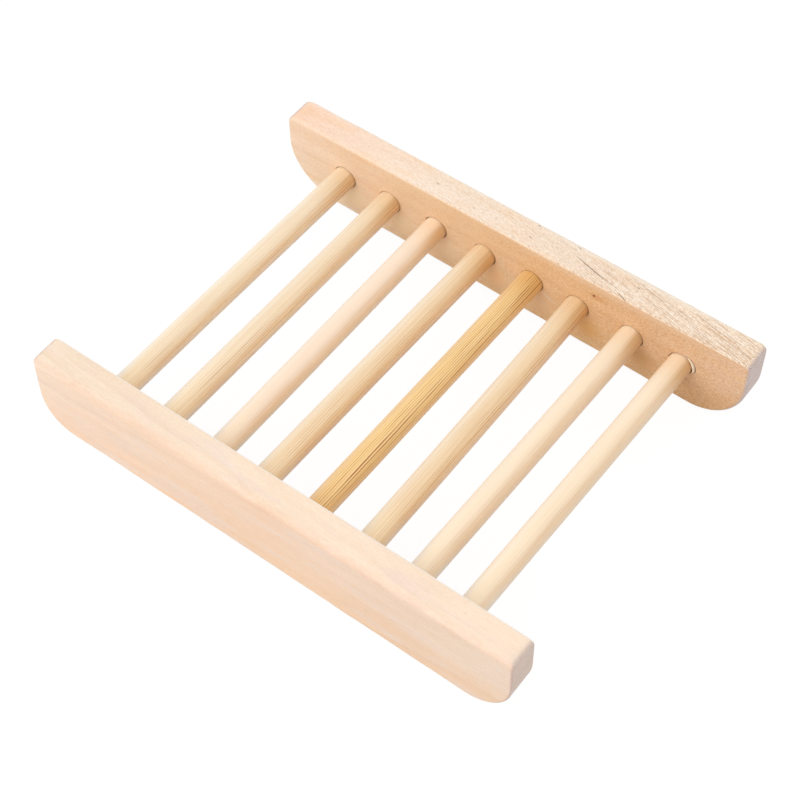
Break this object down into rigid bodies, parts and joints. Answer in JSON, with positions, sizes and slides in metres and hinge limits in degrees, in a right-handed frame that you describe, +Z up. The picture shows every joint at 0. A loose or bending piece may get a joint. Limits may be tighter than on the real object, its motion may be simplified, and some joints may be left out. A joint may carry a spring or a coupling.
{
  "type": "soap dish",
  "caption": "Ladder-style wooden soap dish: upright side rails with round lower corners, joined by round rungs that hold the soap up and let water drain between them.",
  "frame": {"origin": "middle of the footprint, on the surface that the dish stands on", "axes": "+X along the rails, +Y along the rungs from the front rail to the back rail, +Z up"},
  "size_m": [0.1164, 0.0888, 0.0212],
  "materials": {
    "front_rail_beech": "planed and sanded beech, unfinished, fine even figure",
    "back_rail_beech": "planed and sanded beech, unfinished, fine pore dashes along the grain",
    "rung_bamboo": "turned dowel, creamy, with fine brown fibre lines along it",
    "rung_pinkish": "turned dowel, smooth, pinkish cream",
    "rung_golden": "turned dowel, darker golden wood with strong fibre streaks",
    "rung_pale": "turned dowel, smooth and pale"
  },
  "bodies": {
    "root": {"front_rail": "front_rail_beech", "back_rail": "back_rail_beech", "rung_1": "rung_bamboo", "rung_2": "rung_bamboo", "rung_3": "rung_pinkish", "rung_4": "rung_bamboo", "rung_5": "rung_golden", "rung_6": "rung_bamboo", "rung_7": "rung_pale", "rung_8": "rung_pale"}
  },
  "joints": []
}
